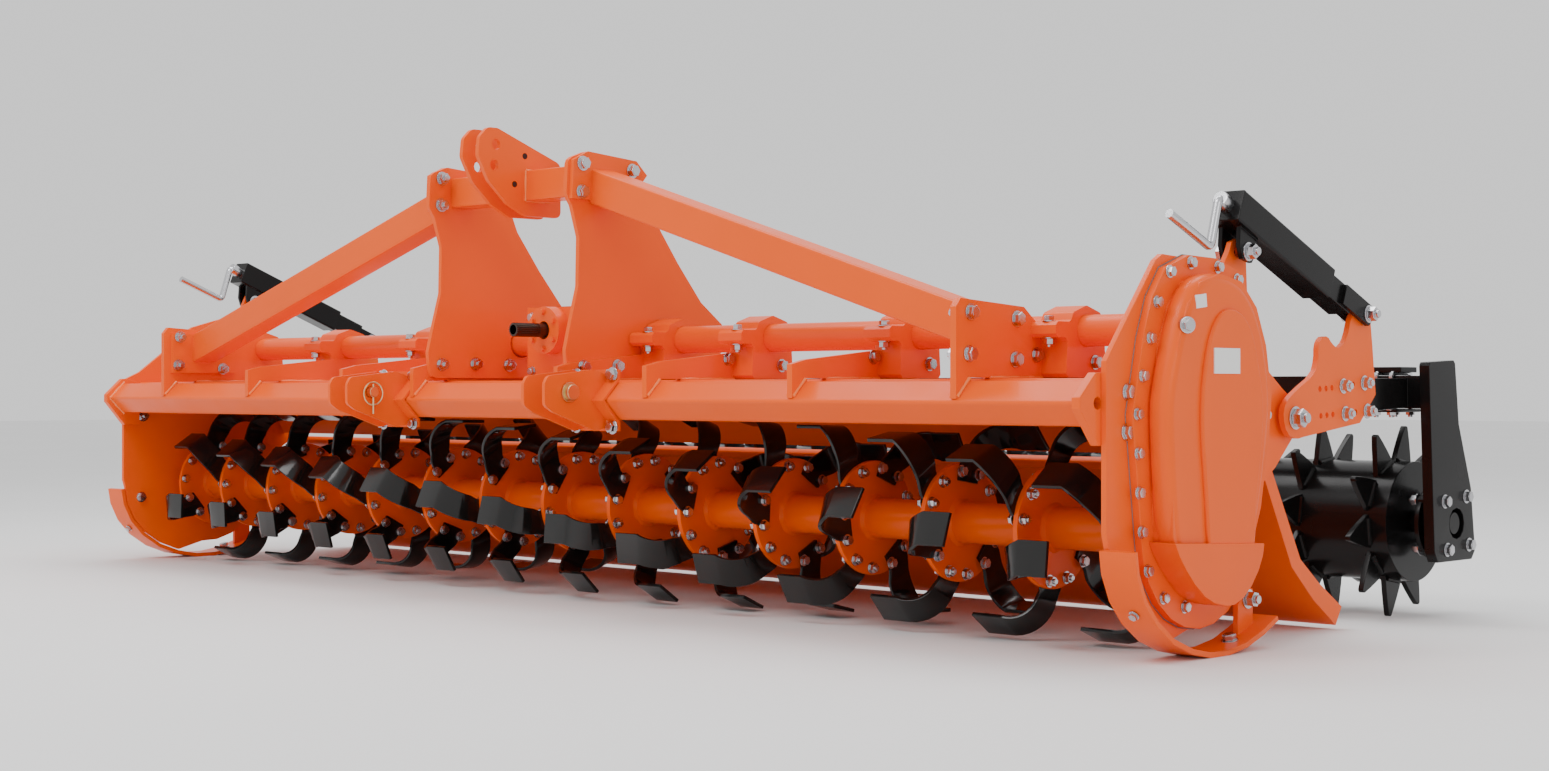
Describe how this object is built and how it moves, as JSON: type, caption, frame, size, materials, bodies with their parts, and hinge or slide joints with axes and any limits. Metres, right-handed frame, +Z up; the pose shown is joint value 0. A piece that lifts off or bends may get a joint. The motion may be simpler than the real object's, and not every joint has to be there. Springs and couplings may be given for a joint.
{
  "type": "mounted rotary tiller (rotavator) with spiked roller",
  "caption": "Wide three-point mounted rotavator: bladed rotor under an orange deck, drive case and skids at the ends, braced mast, and a spiked rear roller on screw jacks.",
  "frame": {"origin": "middle of the machine's bounding box in plan, on the floor it stands on", "axes": "+X across the machine to the gear-case end, +Y to the rear (roller), +Z up"},
  "size_m": [3.81, 1.652, 1.16],
  "materials": {
    "orange_paint": "glossy powder coat",
    "black_paint": "glossy",
    "bright_zinc": "bright",
    "dark_steel": "oiled",
    "yellow_zinc": "satin"
  },
  "bodies": {
    "frame": {"brace_left": "orange_paint", "brace_lug_left": "orange_paint", "brace_lug_right": "orange_paint", "brace_right": "orange_paint", "case_guard": "orange_paint", "cross_tube_left": "orange_paint", "cross_tube_right": "orange_paint", "deck": "orange_paint", "deck_rib_left_1": "orange_paint", "deck_rib_left_2": "orange_paint", "deck_rib_right_1": "orange_paint", "deck_rib_right_2": "orange_paint", "front_beam": "orange_paint", "gear_case": "orange_paint", "gearbox": "orange_paint", "hitch_bracket_left": "orange_paint", "hitch_bracket_right": "orange_paint", "hitch_pin_left": "yellow_zinc", "hitch_pin_right": "yellow_zinc", "mast_plate_left": "orange_paint", "mast_plate_right": "orange_paint", "mast_rib_left": "orange_paint", "mast_rib_right": "orange_paint", "rotor_bearing_left": "orange_paint", "side_plate_left": "orange_paint", "side_plate_right": "orange_paint", "skid_left": "orange_paint", "skid_right": "orange_paint", "top_link_bracket": "orange_paint"},
    "rotor": {"rotor_tube": "orange_paint", "blade_flange_01": "black_paint", "blade_flange_02": "black_paint", "blade_flange_03": "black_paint", "blade_flange_04": "black_paint", "blade_flange_05": "black_paint", "blade_flange_06": "black_paint", "blade_flange_07": "black_paint", "blade_flange_08": "black_paint", "blade_flange_09": "black_paint", "blade_flange_10": "black_paint", "blade_flange_11": "black_paint", "blade_flange_12": "black_paint", "blade_flange_13": "black_paint", "blade_flange_14": "black_paint", "blade_flange_15": "black_paint"},
    "input_shaft": {"pto_shaft": "dark_steel"},
    "trailing_board": {"trailing_board": "orange_paint"},
    "roller_lift_frame": {"roller_arm_left": "orange_paint", "roller_arm_right": "orange_paint", "roller_frame": "black_paint"},
    "roller": {"roller": "black_paint"},
    "jack_outer_right": {"jack_outer_right": "black_paint", "crank_right": "bright_zinc"},
    "jack_inner_right": {"jack_inner_right": "black_paint"},
    "jack_outer_left": {"jack_outer_left": "black_paint", "crank_left": "bright_zinc"},
    "jack_inner_left": {"jack_inner_left": "black_paint"}
  },
  "joints": [
    {"name": "rotor_spin", "type": "hinge", "parent": "frame", "child": "rotor", "pos_m": [0, -0.346, 0.235], "axis": [1, 0, 0], "continuous": true},
    {"name": "pto_spin", "type": "hinge", "parent": "frame", "child": "input_shaft", "pos_m": [0, -0.471, 0.67], "axis": [0, 1, 0], "continuous": true},
    {"name": "board_swing", "type": "hinge", "parent": "frame", "child": "trailing_board", "pos_m": [0, -0.0285, 0.3575], "axis": [1, 0, 0], "range_deg": [0, 12]},
    {"name": "roller_lift", "type": "hinge", "parent": "frame", "child": "roller_lift_frame", "pos_m": [0, 0.009, 0.4625], "axis": [1, 0, 0], "range_deg": [-8, 8]},
    {"name": "roller_spin", "type": "hinge", "parent": "roller_lift_frame", "child": "roller", "pos_m": [0, 0.6065, 0.2195], "axis": [1, 0, 0], "continuous": true},
    {"name": "jack_right_swing", "type": "hinge", "parent": "frame", "child": "jack_outer_right", "pos_m": [1.8275, -0.171, 0.8], "axis": [1, 0, 0], "range_deg": [-4, 4]},
    {"name": "jack_right_slide", "type": "slide", "parent": "jack_outer_right", "child": "jack_inner_right", "axis": [0, 0.9236, -0.3833], "range_m": [-0.045, 0.045]},
    {"name": "jack_left_swing", "type": "hinge", "parent": "frame", "child": "jack_outer_left", "pos_m": [-1.8275, -0.171, 0.8], "axis": [1, 0, 0], "range_deg": [-4, 4]},
    {"name": "jack_left_slide", "type": "slide", "parent": "jack_outer_left", "child": "jack_inner_left", "axis": [0, 0.9236, -0.3833], "range_m": [-0.045, 0.045]}
  ],
  "couplings": [
    {"joint": "pto_spin", "follows": "rotor_spin", "ratio": 2.5},
    {"joint": "jack_right_swing", "follows": "roller_lift", "ratio": 0.369},
    {"joint": "jack_right_slide", "follows": "roller_lift", "m_per_rad": -0.2869},
    {"joint": "jack_left_swing", "follows": "roller_lift", "ratio": 0.369},
    {"joint": "jack_left_slide", "follows": "roller_lift", "m_per_rad": -0.2869}
  ]
}
